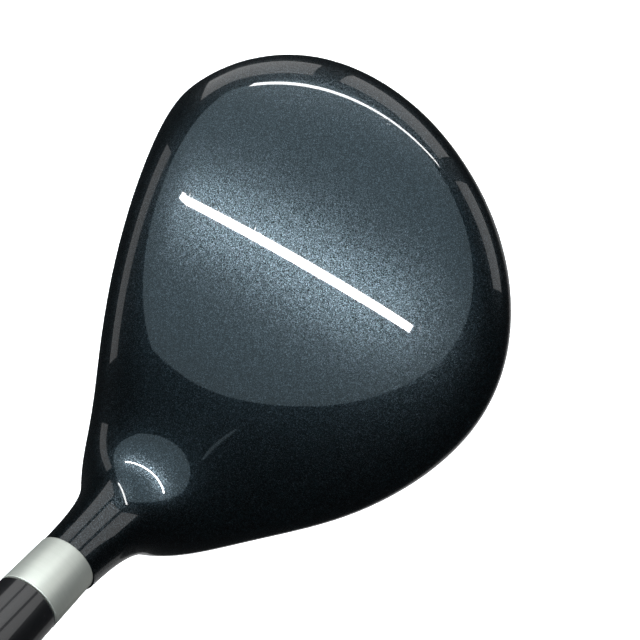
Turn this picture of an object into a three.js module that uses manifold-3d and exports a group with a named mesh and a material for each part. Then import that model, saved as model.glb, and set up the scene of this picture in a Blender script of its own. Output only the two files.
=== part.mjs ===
// A right-handed fairway wood: steel head, bonded shaft, rubber grip.
// Millimetres. +X points from toe to heel, +Y from the face to the rear, +Z up.
// The origin is the middle of the small flat that the sole rests on.
import * as THREE from 'three';
import { mergeVertices } from 'three/addons/utils/BufferGeometryUtils.js';
import Module from 'manifold-3d';

const wasm = await Module();
wasm.setup();

const deg = Math.PI / 180;
const GAP = 0.3; // clearance between touching pieces

// Driving dimensions
const lie = 58 * deg; // shaft to ground
const loft = 15 * deg; // face to vertical
const clubLength = 1092; // along the shaft, from the ground to the butt
const shaftFoot = { x: 35.4, y: -6 }; // where the shaft axis meets the ground

// Head outline seen from above: radii at even steps from the heel, counter-clockwise, around
// outlineCentre. The curve through them is smooth and closed. In front it runs past the face,
// which cuts it off.
const outlineCentre = { x: 0, y: 16 };
const outlineRadii = [
  60.4, 54, 52.1, 51.7, 49.4, 46.9, 46.3, 48.5,
  52.6, 55.3, 56, 62.2, 70.7, 79.5, 83.6, 74.4,
];
const equatorHeight = 19; // height of the head's widest line
const skirtRadius = 30; // side wall's curvature, top to bottom

const crown = { x: 0, y: -10, height: 38, radiusX: 120, radiusY: 150 };
const frontRoll = { start: -5, radius: 60 }; // the crown turns down towards the face from here
const sole = { radiusX: 160, radiusY: 230, sink: 0.45 };
const face = { y: -27, height: 18, bulge: 280, roll: 280 };
const crownBlend = 3.5; // edge roundness of crown, skirt and sole
const faceBlend = 2.2; // edge roundness of the face

const hosel = { radius: 5.9, topHeight: 45.3, boreRadius: 5.2, neckFoot: 18 };
// The neck's fillet grows between two stations on the shaft axis, tighter towards the crown
const neckFillet = { blend: 8.8, toeSideCut: 0.42, from: 4, full: 20 };
const wall = 1.8; // shell thickness

// Pieces turned about the shaft axis: stations run along it from the ground, radii across it
const hoselTop = hosel.topHeight / Math.sin(lie);
const boreFloor = 14;
const shaft = { foot: 18.3, tipRadius: 4.25, buttRadius: 7.6, parallelTip: 130, wall: 1.4 };
const ring = { length: 9.5, outer: 6.3, chamfer: 0.25 };
const sleeve = { straight: 14, taper: 13, outer: 6.25, mouth: 4.95, belly: 0.3, edge: 0.4 };
const tipWeight = { start: 4, length: 26 };
const grip = { length: 267, mouth: 10.2, butt: 13.4, lip: 1.2, swell: 30 };
const tape = { thickness: 0.6, start: 8 };
const cap = { thickness: 4, spigot: 16, edge: 1.5 };

const shaftAxis = new THREE.Vector3(Math.cos(lie), 0, Math.sin(lie));
const toeSide = new THREE.Vector3(-Math.sin(lie), 0, Math.cos(lie)); // square to the shaft
const shaftTurn = new THREE.Quaternion().setFromUnitVectors(new THREE.Vector3(0, 0, 1), shaftAxis);
const upright = new THREE.Quaternion();
const foot = new THREE.Vector3(shaftFoot.x, shaftFoot.y, 0);
const onShaft = new THREE.Matrix4().compose(foot, shaftTurn, new THREE.Vector3(1, 1, 1));

// Points inside the head from which its skin is measured
const headMiddle = new THREE.Vector3(0, 14, 18);
const neckRootStation = 24; // along the shaft axis
const neckRoot = foot.clone().addScaledVector(shaftAxis, neckRootStation);

// ---- the head's form, as a field that is negative inside and about in millimetres ----

// Smooth closed curve through the outline radii, as its cosine and sine terms
const outlineTerms = (() => {
  const n = outlineRadii.length;
  const terms = [];
  for (let k = 0; k <= n / 2; k += 1) {
    let c = 0;
    let s = 0;
    outlineRadii.forEach((radius, i) => {
      c += radius * Math.cos((2 * Math.PI * k * i) / n);
      s += radius * Math.sin((2 * Math.PI * k * i) / n);
    });
    const share = k === 0 || 2 * k === n ? 1 / n : 2 / n;
    terms.push({ k, c: c * share, s: s * share });
  }
  return terms;
})();

function outlineRadius(angle) {
  let radius = 0;
  for (const { k, c, s } of outlineTerms) {
    radius += c * Math.cos(k * angle) + s * Math.sin(k * angle);
  }
  return radius;
}

function outlineSlope(angle) {
  let slope = 0;
  for (const { k, c, s } of outlineTerms) {
    slope += k * (s * Math.cos(k * angle) - c * Math.sin(k * angle));
  }
  return slope;
}

// Larger of two values with a rounded change-over, and the smaller likewise
function softMax(a, b, blend) {
  return Math.max(a, b) + blend * Math.log1p(Math.exp(-Math.abs(a - b) / blend));
}

function softMin(a, b, blend) {
  return -softMax(-a, -b, blend);
}

function skirtField(p) {
  const dx = p.x - outlineCentre.x;
  const dy = p.y - outlineCentre.y;
  const angle = Math.atan2(dy, dx);
  const radius = outlineRadius(angle);
  const lean = (p.z - equatorHeight) ** 2 / (2 * skirtRadius);
  return (Math.hypot(dx, dy) - radius + lean) / Math.hypot(1, outlineSlope(angle) / radius);
}

function crownField(p) {
  const dx = p.x - crown.x;
  const dy = p.y - crown.y;
  const ahead = Math.max(frontRoll.start - p.y, 0);
  const dome = crown.height - dx ** 2 / (2 * crown.radiusX) - dy ** 2 / (2 * crown.radiusY);
  const top = dome - ahead ** 2 / (2 * frontRoll.radius);
  const slopeY = dy / crown.radiusY - ahead / frontRoll.radius;
  return (p.z - top) / Math.hypot(1, dx / crown.radiusX, slopeY);
}

function soleField(p) {
  const bottom = p.x ** 2 / (2 * sole.radiusX) + p.y ** 2 / (2 * sole.radiusY) - sole.sink;
  return (bottom - p.z) / Math.hypot(1, p.x / sole.radiusX, p.y / sole.radiusY);
}

function faceField(p) {
  const up = p.z - face.height;
  const front = face.y + Math.tan(loft) * up + p.x ** 2 / (2 * face.bulge) + up ** 2 / (2 * face.roll);
  return (front - p.y) * Math.cos(loft);
}

function bodyField(p) {
  const lid = softMax(softMax(crownField(p), skirtField(p), crownBlend), soleField(p), crownBlend);
  return softMax(lid, faceField(p), faceBlend);
}

function hoselField(p) {
  const fromFoot = p.clone().sub(foot);
  const along = fromFoot.dot(shaftAxis);
  const away = Math.sqrt(Math.max(fromFoot.lengthSq() - along * along, 0));
  const footBlend = 3;
  return softMax(away - hosel.radius, hosel.neckFoot - along, footBlend);
}

// Softness of the fillet at a point: next to nothing at the sole, least on the toe side above it
function neckBlend(p) {
  const least = 0.05;
  const fromFoot = p.clone().sub(foot);
  const along = fromFoot.dot(shaftAxis);
  const away = fromFoot.addScaledVector(shaftAxis, -along).normalize();
  const toeward = (1 + away.dot(toeSide)) / 2;
  const grown = THREE.MathUtils.smoothstep(along, neckFillet.from, neckFillet.full);
  return least + neckFillet.blend * grown * (1 - neckFillet.toeSideCut * toeward ** 2);
}

function headField(p) {
  return softMin(bodyField(p), hoselField(p), neckBlend(p));
}

// Distance from start along direction to the first place where the field reaches level
function reach(field, start, direction, level) {
  const stride = 2;
  const farthest = 90;
  const halvings = 20;
  const isInside = (distance) => field(start.clone().addScaledVector(direction, distance)) < level;
  let far = stride;
  while (far < farthest && isInside(far)) far += stride;
  let near = far - stride;
  for (let step = 0; step < halvings; step += 1) {
    const middle = (near + far) / 2;
    if (isInside(middle)) near = middle;
    else far = middle;
  }
  return near;
}

// ---- solids ----

function geometryFrom(points, triangles) {
  const geometry = new THREE.BufferGeometry();
  geometry.setAttribute('position', new THREE.Float32BufferAttribute(points, 3));
  geometry.setIndex(triangles);
  return geometry;
}

function solid(geometry, matrix = new THREE.Matrix4()) {
  const bare = geometry.clone();
  bare.deleteAttribute('normal');
  bare.deleteAttribute('uv');
  bare.applyMatrix4(matrix);
  const merged = mergeVertices(bare, 1e-4);
  return new wasm.Manifold(new wasm.Mesh({
    numProp: 3,
    vertProperties: new Float32Array(merged.attributes.position.array),
    triVerts: new Uint32Array(merged.index.array),
  }));
}

function geometryOf(manifold) {
  const mesh = manifold.getMesh();
  const geometry = geometryFrom(Array.from(mesh.vertProperties), Array.from(mesh.triVerts));
  geometry.computeVertexNormals();
  return geometry;
}

// A ray from a starting point, at a tilt and a bearing about a pole that is turned from +Z
function ray(start, turn, tilt, bearing) {
  const direction = new THREE.Vector3(
    Math.cos(tilt) * Math.cos(bearing),
    Math.cos(tilt) * Math.sin(bearing),
    Math.sin(tilt),
  );
  return { start, direction: direction.applyQuaternion(turn) };
}

function hit(field, level, { start, direction }) {
  return start.clone().addScaledVector(direction, reach(field, start, direction, level));
}

// Closed skin through the points where rays meet the field at level. Each ring gives the ray
// for a bearing; the skin starts at the ray straight down and ends at the ray along lastPole.
function skin(field, level, rings, around, lastPole) {
  const points = [...hit(field, level, ray(headMiddle, upright, -Math.PI / 2, 0)).toArray()];
  const triangles = [];
  for (const ring of rings) {
    for (let column = 0; column < around; column += 1) {
      points.push(...hit(field, level, ring((2 * Math.PI * column) / around)).toArray());
    }
  }
  points.push(...hit(field, level, lastPole).toArray());
  closeRings(triangles, around, rings.length);
  return solid(geometryFrom(points, triangles));
}

// Triangles between stacked rings, closed by a first and a last point
function closeRings(triangles, around, rings) {
  const at = (ringIndex, column) => 1 + ringIndex * around + (column % around);
  const last = 1 + rings * around;
  for (let column = 0; column < around; column += 1) {
    triangles.push(0, at(0, column + 1), at(0, column));
    for (let r = 0; r + 1 < rings; r += 1) {
      triangles.push(at(r, column), at(r, column + 1), at(r + 1, column + 1));
      triangles.push(at(r, column), at(r + 1, column + 1), at(r + 1, column));
    }
    triangles.push(at(rings - 1, column), at(rings - 1, column + 1), last);
  }
}

// Skin in even rings from pole to pole around the middle of the head
function evenSkin(field, level, count, around) {
  const rings = [];
  for (let i = 1; i < count; i += 1) {
    const tilt = -Math.PI / 2 + (Math.PI * i) / count;
    rings.push((bearing) => ray(headMiddle, upright, tilt, bearing));
  }
  return skin(field, level, rings, around, ray(headMiddle, upright, Math.PI / 2, 0));
}

// Level ring of the head. Shares run from the sole's pole to 1, closest at the rim. The last
// ring keeps near the topline in front and dips below the neck at the heel.
function levelRing(share) {
  const neckBearing = -20 * deg;
  return (bearing) => {
    const nearNeck = (1 + Math.cos(bearing - neckBearing)) / 2;
    const last = THREE.MathUtils.lerp(30 * deg, -2 * deg, nearNeck ** 1.5);
    const tilt = -90 * deg * (1 - share) ** 1.7 + last * share ** 2.5;
    return ray(headMiddle, upright, tilt, bearing);
  };
}

// Ring of the neck, aimed at its straight wall at a height above the neck's root
function neckRing(height) {
  const tilt = Math.atan2(height, hosel.radius);
  return (bearing) => ray(neckRoot, shaftTurn, tilt, bearing);
}

// Ring over the crown, on the way from the last level ring to the first neck ring
function crownRing(share, firstHeight) {
  return (bearing) => {
    const low = hit(headField, 0, levelRing(1)(bearing));
    const high = hit(headField, 0, neckRing(firstHeight)(bearing));
    const start = headMiddle.clone().lerp(neckRoot, share);
    return { start, direction: low.lerp(high, share).sub(start).normalize() };
  };
}

function headSkin(level) {
  const sides = 24;
  const over = 15;
  const up = 7;
  const firstHeight = 13;
  const lastHeight = hoselTop + 2 - neckRootStation;
  const rings = [];
  for (let i = 1; i <= sides; i += 1) rings.push(levelRing(i / sides));
  for (let i = 1; i <= over; i += 1) rings.push(crownRing(i / (over + 1), firstHeight));
  for (let i = 0; i < up; i += 1) {
    rings.push(neckRing(THREE.MathUtils.lerp(firstHeight, lastHeight, i / (up - 1))));
  }
  return skin(headField, level, rings, 72, ray(neckRoot, shaftTurn, Math.PI / 2, 0));
}

// Solid of revolution along the shaft axis, from [radius, station] pairs
function turned(profile, sides = 32) {
  const points = profile.map(([radius, station]) => new THREE.Vector2(radius, station));
  return new THREE.LatheGeometry(points, sides);
}

// LatheGeometry turns around +Y, so a turned piece is stood on +Z first
const standUp = new THREE.Matrix4().makeRotationX(Math.PI / 2);

function turnedSolid(profile, sides) {
  return solid(turned(profile, sides), onShaft.clone().multiply(standUp));
}

function rod(radius, from, to, sides = 32) {
  return turnedSolid([[0, from], [radius, from], [radius, to], [0, to]], sides);
}

// Disc around a point, its axis tipped back from +Z
function disc(radius, height, centre, tilt) {
  const sides = 32;
  const geometry = new THREE.CylinderGeometry(radius, radius, height, sides);
  const turn = new THREE.Euler(Math.PI / 2 + tilt, 0, 0);
  const matrix = new THREE.Matrix4().compose(
    centre,
    new THREE.Quaternion().setFromEuler(turn),
    new THREE.Vector3(1, 1, 1),
  );
  return solid(geometry, matrix);
}

function block(width, depth, height, centre) {
  const geometry = new THREE.BoxGeometry(width, depth, height);
  return solid(geometry, new THREE.Matrix4().makeTranslation(centre.x, centre.y, centre.z));
}

// Outline of the face plate in X and Z, narrower at heel and toe
const facePlate = { x: -5, z: 17.6, halfWidth: 34, halfHeight: 10.8, squareness: 2.6 };

function faceOutline(inset) {
  const shape = new THREE.Shape();
  const count = 48;
  for (let i = 0; i < count; i += 1) {
    const turn = (2 * Math.PI * i) / count;
    const c = Math.cos(turn);
    const s = Math.sin(turn);
    const power = 2 / facePlate.squareness;
    const x = facePlate.x + (facePlate.halfWidth - inset) * Math.sign(c) * Math.abs(c) ** power;
    const z = facePlate.z + (facePlate.halfHeight - inset) * Math.sign(s) * Math.abs(s) ** power;
    if (i === 0) shape.moveTo(x, z);
    else shape.lineTo(x, z);
  }
  return shape;
}

function facePrism(inset) {
  const depth = 40;
  const back = -4; // well behind the face
  const geometry = new THREE.ExtrudeGeometry(faceOutline(inset), { depth, bevelEnabled: false });
  // The outline's second direction becomes +Z, and the extrusion runs towards -Y
  const matrix = new THREE.Matrix4().makeTranslation(0, back, 0).multiply(standUp);
  return solid(geometry, matrix);
}

// The sole plate's outline is the head's outline drawn in, cut straight behind the face
const solePlate = { share: 0.8, front: -15 };

function solePrism(inset) {
  const shape = new THREE.Shape();
  const count = 60;
  for (let i = 0; i < count; i += 1) {
    const turn = (2 * Math.PI * i) / count;
    const radius = outlineRadius(turn) * solePlate.share - inset;
    const x = outlineCentre.x + radius * Math.cos(turn);
    const y = Math.max(outlineCentre.y + radius * Math.sin(turn), solePlate.front + inset);
    if (i === 0) shape.moveTo(x, y);
    else shape.lineTo(x, y);
  }
  const depth = 16;
  const bottom = -4; // below the sole
  const geometry = new THREE.ExtrudeGeometry(shape, { depth, bevelEnabled: false });
  return solid(geometry, new THREE.Matrix4().makeTranslation(0, 0, bottom));
}

// ---- the head's pieces ----

const ground = block(300, 300, 40, new THREE.Vector3(0, 0, -20)); // cuts the sole's flat
const aboveHosel = rod(60, hoselTop, hoselTop + 100); // cuts the neck off square
const outerBody = headSkin(0).subtract(ground).subtract(aboveHosel);
const hollow = evenSkin(bodyField, -wall, 22, 48);
const roomInside = evenSkin(bodyField, -wall - GAP, 18, 40);
const bore = rod(hosel.boreRadius, boreFloor, hoselTop + 5);

const scoreLines = {
  count: 6, pitch: 2.8, width: 0.8, depth: 0.4, lowest: 10.5, halfGap: 11, length: 13,
};

// One score line, in two halves because the middle of the face stays plain
function scoreLine(index) {
  const z = scoreLines.lowest + scoreLines.pitch * index;
  const offset = scoreLines.halfGap + scoreLines.length / 2;
  const halves = [-offset, offset].map((x) => (
    block(scoreLines.length, 40, scoreLines.width, new THREE.Vector3(facePlate.x + x, face.y, z))
  ));
  return halves[0].add(halves[1]);
}

function facePlateSolid() {
  const belowLines = headSkin(-scoreLines.depth);
  let plate = outerBody.subtract(hollow).intersect(facePrism(GAP));
  for (let i = 0; i < scoreLines.count; i += 1) {
    plate = plate.subtract(scoreLine(i).subtract(belowLines));
  }
  return plate;
}

// The hosel runs on inside the shell down to its floor
function headShellSolid() {
  const floorThickness = 2;
  const hoselTube = rod(hosel.radius, boreFloor - floorThickness, hoselTop - 4).intersect(outerBody);
  return outerBody
    .subtract(hollow)
    .add(hoselTube)
    .subtract(facePrism(0))
    .subtract(solePrism(0))
    .subtract(bore);
}

// Weight port at the sole's rear, square to the sole there
const port = { y: 40, radius: 8, depth: 6.5, wall: 1.8 };
const portTilt = Math.atan(port.y / sole.radiusY);
const portMouth = port.y ** 2 / (2 * sole.radiusY) - sole.sink;

function portDisc(radius, from, to) {
  const middle = (from + to) / 2;
  const centre = new THREE.Vector3(
    0,
    port.y - Math.sin(portTilt) * middle,
    portMouth + Math.cos(portTilt) * middle,
  );
  return disc(radius, to - from, centre, portTilt);
}

const badge = { y: 21, halfLength: 17, halfWidth: 6, thickness: 0.7 };

function badgeDisc(inset) {
  const height = 8; // reaches through the sole plate's underside
  const sides = 40;
  const geometry = new THREE.CylinderGeometry(1, 1, height, sides);
  const matrix = new THREE.Matrix4()
    .makeTranslation(0, badge.y, 0)
    .scale(new THREE.Vector3(badge.halfLength - inset, badge.halfWidth - inset, 1))
    .multiply(standUp);
  return solid(geometry, matrix);
}

function solePlateSolid() {
  const cup = portDisc(port.radius + port.wall, 0.4, port.depth + port.wall);
  return outerBody
    .subtract(hollow)
    .add(cup.intersect(outerBody))
    .intersect(solePrism(GAP))
    .subtract(portDisc(port.radius, -3, port.depth))
    .subtract(badgeDisc(0).subtract(headSkin(-badge.thickness - GAP)));
}

function soleWeightSolid() {
  const socketRadius = 2.6;
  const socketDepth = 3.5;
  return portDisc(port.radius - GAP, 0, port.depth - GAP)
    .subtract(portDisc(socketRadius, -1, socketDepth));
}

function soleBadgeSolid() {
  return outerBody.subtract(headSkin(-badge.thickness)).intersect(badgeDisc(GAP));
}

// Balance slugs lie on the shell's floor near toe and heel
const slug = { width: 13, depth: 18, height: 12, y: -2, z: 6, toeX: -30, heelX: 19 };

function slugSolid(x) {
  const bar = block(slug.width, slug.depth, slug.height, new THREE.Vector3(x, slug.y, slug.z));
  return bar.intersect(roomInside);
}

// A puddle of hot melt on the floor, towards the rear of the toe
const hotMelt = { x: -24, y: 30, z: 4, halfLength: 11, halfWidth: 9, halfHeight: 4 };

function hotMeltSolid() {
  const puddle = new THREE.SphereGeometry(1, 20, 12);
  const matrix = new THREE.Matrix4()
    .makeTranslation(hotMelt.x, hotMelt.y, hotMelt.z)
    .scale(new THREE.Vector3(hotMelt.halfLength, hotMelt.halfWidth, hotMelt.halfHeight));
  return solid(puddle, matrix).intersect(roomInside);
}

// ---- pieces turned about the shaft ----

const gripMouth = clubLength - grip.length;
const shaftEnd = clubLength - cap.thickness - GAP; // the grip ends level with it

// Shaft's outer radius: parallel tip, then an even taper to the butt
function shaftRadius(station) {
  const taperStart = shaft.foot + shaft.parallelTip;
  const share = Math.max(0, (station - taperStart) / (shaftEnd - taperStart));
  return shaft.tipRadius + (shaft.buttRadius - shaft.tipRadius) * share;
}

// Closed ring profile: outer line from bottom to top, then the inner line back down
function ringSection(outerLine, innerLine) {
  return [...outerLine, ...[...innerLine].reverse(), outerLine[0]];
}

function hoselPlugProfile() {
  const radius = hosel.boreRadius - GAP;
  const low = boreFloor + GAP;
  const high = shaft.foot - GAP;
  return [[0, low], [radius, low], [radius, high], [0, high]];
}

function epoxyProfile() {
  const inner = shaft.tipRadius + GAP;
  const outer = hosel.boreRadius - GAP;
  const high = hoselTop - 0.5;
  return ringSection([[outer, shaft.foot], [outer, high]], [[inner, shaft.foot], [inner, high]]);
}

function ringProfile() {
  const inner = shaft.tipRadius + GAP;
  const low = hoselTop + GAP;
  const high = low + ring.length;
  return ringSection(
    [[ring.outer - ring.chamfer, low], [ring.outer, low + ring.chamfer],
      [ring.outer, high - ring.chamfer], [ring.outer - ring.chamfer, high]],
    [[inner, low], [inner, high]],
  );
}

function sleeveProfile() {
  const inner = shaft.tipRadius + GAP;
  const low = hoselTop + ring.length + 2 * GAP;
  const shoulder = low + sleeve.straight;
  const high = shoulder + sleeve.taper;
  const halfTaper = (sleeve.outer + sleeve.mouth) / 2 + sleeve.belly;
  return ringSection(
    [[sleeve.outer - sleeve.edge, low], [sleeve.outer, low + sleeve.edge],
      [sleeve.outer, shoulder], [halfTaper, (shoulder + high) / 2], [sleeve.mouth, high]],
    [[inner, low], [inner, high]],
  );
}

function shaftProfile() {
  const taperStart = shaft.foot + shaft.parallelTip;
  const outerLine = [shaft.foot, taperStart, shaftEnd].map((s) => [shaftRadius(s), s]);
  const innerLine = [shaft.foot, taperStart, shaftEnd].map((s) => [shaftRadius(s) - shaft.wall, s]);
  return ringSection(outerLine, innerLine);
}

function tipWeightProfile() {
  const radius = shaft.tipRadius - shaft.wall - GAP;
  const low = shaft.foot + tipWeight.start;
  const high = low + tipWeight.length;
  return [[0, low], [radius, low], [radius, high], [0, high]];
}

function tapeProfile() {
  const low = gripMouth + tape.start;
  const high = shaftEnd - 1;
  const inner = (s) => shaftRadius(s) + GAP;
  return ringSection(
    [[inner(low) + tape.thickness, low], [inner(high) + tape.thickness, high]],
    [[inner(low), low], [inner(high), high]],
  );
}

function gripProfile() {
  const inner = (s) => shaftRadius(s) + tape.thickness + 2 * GAP;
  return ringSection(
    [[grip.mouth - grip.lip, gripMouth], [grip.mouth, gripMouth + 2 * grip.lip],
      [grip.butt - 1, shaftEnd - grip.swell], [grip.butt, shaftEnd - 4], [grip.butt, shaftEnd]],
    [[inner(gripMouth), gripMouth], [inner(shaftEnd), shaftEnd]],
  );
}

function capProfile() {
  const low = clubLength - cap.thickness;
  const spigot = shaftRadius(shaftEnd) - shaft.wall - GAP;
  return [[0, low - cap.spigot], [spigot, low - cap.spigot], [spigot, low], [grip.butt, low],
    [grip.butt, clubLength - cap.edge], [grip.butt - cap.edge, clubLength], [0, clubLength]];
}

// ---- material and mesh for each piece ----

const object = new THREE.Group();

function finish(color, roughness, metalness) {
  return new THREE.MeshStandardMaterial({ color, roughness, metalness });
}

function addSolid(name, manifold, material) {
  const mesh = new THREE.Mesh(geometryOf(manifold), material);
  mesh.name = name;
  object.add(mesh);
}

// Everything turned about the shaft hangs in one group whose +Z is the shaft's axis
const shaftLine = new THREE.Group();
shaftLine.position.copy(foot);
shaftLine.quaternion.copy(shaftTurn);
object.add(shaftLine);

function addTurned(name, profile, material, sides = 32) {
  const geometry = turned(profile, sides).applyMatrix4(standUp);
  const mesh = new THREE.Mesh(geometry, material);
  mesh.name = name;
  shaftLine.add(mesh);
}

addSolid('head_shell', headShellSolid(), finish(0x15191c, 0.15, 0.7));
addSolid('face_plate', facePlateSolid(), finish(0x8d8f92, 0.4, 0.9));
addSolid('sole_plate', solePlateSolid(), finish(0x6d7073, 0.35, 0.9));
addSolid('sole_weight', soleWeightSolid(), finish(0x9a9a98, 0.35, 0.9));
addSolid('sole_badge', soleBadgeSolid(), finish(0xc6c8ca, 0.3, 0.9));
addSolid('toe_slug', slugSolid(slug.toeX), finish(0x77787a, 0.5, 0.8));
addSolid('heel_slug', slugSolid(slug.heelX), finish(0x77787a, 0.5, 0.8));
addSolid('hot_melt_pad', hotMeltSolid(), finish(0xcabf8e, 0.5, 0));
addTurned('hosel_plug', hoselPlugProfile(), finish(0x2c2c2c, 0.8, 0), 24);
addTurned('epoxy_bond', epoxyProfile(), finish(0xb9a77a, 0.4, 0), 24);
addTurned('ferrule_ring', ringProfile(), finish(0xc9cac8, 0.35, 0.9), 40);
addTurned('ferrule_sleeve', sleeveProfile(), finish(0x0a0b0c, 0.12, 0), 40);
addTurned('shaft', shaftProfile(), finish(0x111315, 0.2, 0.1), 32);
addTurned('tip_weight', tipWeightProfile(), finish(0xb5964a, 0.35, 0.9), 16);
addTurned('grip_tape', tapeProfile(), finish(0xd8d2bf, 0.8, 0), 24);
addTurned('grip', gripProfile(), finish(0x16171a, 0.85, 0), 32);
addTurned('grip_cap', capProfile(), finish(0x1c1d20, 0.6, 0), 32);

export default object;
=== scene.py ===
"""Looks of a right-handed fairway wood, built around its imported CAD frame."""
import math

import bmesh
import bpy
import numpy as np
from mathutils import Matrix, Vector


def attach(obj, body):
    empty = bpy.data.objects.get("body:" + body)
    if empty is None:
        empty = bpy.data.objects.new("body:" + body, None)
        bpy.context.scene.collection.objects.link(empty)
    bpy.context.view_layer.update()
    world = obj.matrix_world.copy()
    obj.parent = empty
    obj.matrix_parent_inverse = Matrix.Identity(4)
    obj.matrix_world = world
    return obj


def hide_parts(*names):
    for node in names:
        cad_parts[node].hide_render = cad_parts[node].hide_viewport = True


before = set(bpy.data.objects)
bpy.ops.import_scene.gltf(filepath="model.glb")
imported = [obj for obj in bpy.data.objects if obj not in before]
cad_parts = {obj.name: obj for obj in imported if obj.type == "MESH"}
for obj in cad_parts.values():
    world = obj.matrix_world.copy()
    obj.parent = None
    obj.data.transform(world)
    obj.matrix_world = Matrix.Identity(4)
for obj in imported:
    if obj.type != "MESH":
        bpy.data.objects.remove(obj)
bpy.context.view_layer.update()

MM = 0.001

# ---- driving dimensions, in millimetres: the CAD part's, with finer detail added ----
# +X runs from toe to heel, +Y from face to rear, +Z up. The origin is under the sole's middle.

LIE = math.radians(58)
LOFT = math.radians(15)
CLUB_LENGTH = 1092
FOOT = np.array([35.4, -6, 0])  # where the shaft's axis meets the ground
AXIS = np.array([math.cos(LIE), 0, math.sin(LIE)])
TOE_SIDE = np.array([-math.sin(LIE), 0, math.cos(LIE)])  # square to the shaft

OUTLINE_CENTRE = (0, 16)
OUTLINE_RADII = np.array([60.4, 54, 52.1, 51.7, 49.4, 46.9, 46.3, 48.5,
                          52.6, 55.3, 56, 62.2, 70.7, 79.5, 83.6, 74.4])
EQUATOR_HEIGHT = 19
SKIRT_RADIUS = 30
CROWN = {"x": 0, "y": -10, "height": 38, "radius_x": 120, "radius_y": 150}
FRONT_ROLL = {"start": -5, "radius": 60}
SOLE = {"radius_x": 160, "radius_y": 230, "sink": 0.45}
FACE = {"y": -27, "height": 18, "bulge": 280, "roll": 280}
CROWN_BLEND = 3.5
FACE_BLEND = 2.2
HOSEL = {"radius": 5.9, "bore": 5.2, "neck_foot": 18, "foot_blend": 3, "bore_floor": 14,
         "tube_foot": 12, "tube_below_top": 4}
NECK_FILLET = {"blend": 8.8, "toe_side_cut": 0.42, "from": 4, "full": 20, "least": 0.05}
HOSEL_TOP = 45.3 / math.sin(LIE)
WALL = 1.8
HEART = np.array([0, 14, 18])  # a point well inside the head

FACE_PLATE = {"x": -5, "z": 17.6, "half_width": 34, "half_height": 10.8, "squareness": 2.6,
              "ahead": -44, "behind": -4}
SCORE_LINES = {"count": 6, "pitch": 2.8, "width": 0.8, "depth": 0.4, "lowest": 10.5,
               "half_gap": 11, "length": 13, "ahead": -45, "behind": -5}
SOLE_PLATE = {"share": 0.8, "front": -15, "below": -4, "above": 12}
PORT = {"y": 40, "radius": 8, "depth": 6.5, "wall": 1.8, "boss_start": 0.4, "below": -3}
BADGE = {"y": 21, "half_length": 17, "half_width": 6, "thickness": 0.7, "below": -4, "above": 4}
WEIGHT = {"clearance": 0.15, "sink": 0.05, "bevel": 0.45, "socket": 2.5, "lobe": 0.45,
          "lobes": 6, "socket_start": -1, "socket_depth": 3.5}
SEAM = 0.1  # visible gap around a fitted plate

SHAFT = {"foot": 18.3, "tip": 4.25, "butt": 7.6, "parallel": 130, "wall": 1.4}
GAP = 0.3
RING = {"length": 9.5, "radius": 6.3, "edge": 0.3, "rounding": 0.12, "seam": 0.12}
SLEEVE = {"straight": 14, "taper": 13, "outer": 6.25, "mouth": 4.95, "edge": 0.25, "lip": 0.15}
CLOSING = 0.1  # how far ring and sleeve each reach into the CAD's gap between them
GRIP = {"length": 267, "mouth": 10.2, "butt": 13.4, "lip": 1.2, "lip_length": 2.4,
        "flare": 1, "flare_start": 30, "flare_end": 4}
DIAMONDS = {"around": 8, "pitch": 7.2, "groove": 0.16, "depth": 0.45, "fade": 3,
            "from_mouth": 14, "from_butt": 16, "middle": 125, "plain": 8, "plain_fade": 1.5}
BANDS = {"from_mouth": (9, 118, 132), "from_butt": 10, "half_width": 1.6, "depth": 0.5}
CAP = {"thickness": 4, "spigot": 16, "edge": 1.5, "rounding": 0.525,
       "groove": (2.6, 3, 3.6, 4), "groove_depth": 0.5, "vent": (1.6, 1.3), "vent_depth": 2.5}
TAPE = 0.6

# Points around, and rows from bottom to top, of the surfaces laid round the head's heart
FINE = (200, 100)
MEDIUM = (160, 80)
COARSE = (120, 60)


# ---- the head's form, as fields of points p: about the distance in mm, negative inside ----

def turns_of(count):
    """Evenly spaced angles round a full turn."""
    return 2 * np.pi * np.arange(count) / count


def outline_radius(angle):
    """Radius of the smooth closed curve through the outline radii, and its slope."""
    count = len(OUTLINE_RADII)
    steps = turns_of(count)
    radius = np.zeros_like(angle)
    slope = np.zeros_like(angle)
    for k in range(count // 2 + 1):
        share = (1 if k in (0, count // 2) else 2) / count
        even = share * (OUTLINE_RADII * np.cos(k * steps)).sum()
        odd = share * (OUTLINE_RADII * np.sin(k * steps)).sum()
        radius += even * np.cos(k * angle) + odd * np.sin(k * angle)
        slope += k * (odd * np.cos(k * angle) - even * np.sin(k * angle))
    return radius, slope


def soft_max(a, b, blend):
    return np.maximum(a, b) + blend * np.log1p(np.exp(-np.abs(a - b) / blend))


def soft_min(a, b, blend):
    return -soft_max(-a, -b, blend)


def skirt_field(p):
    dx = p[:, 0] - OUTLINE_CENTRE[0]
    dy = p[:, 1] - OUTLINE_CENTRE[1]
    radius, slope = outline_radius(np.arctan2(dy, dx))
    lean = (p[:, 2] - EQUATOR_HEIGHT) ** 2 / (2 * SKIRT_RADIUS)
    return (np.hypot(dx, dy) - radius + lean) / np.hypot(1, slope / radius)


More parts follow.
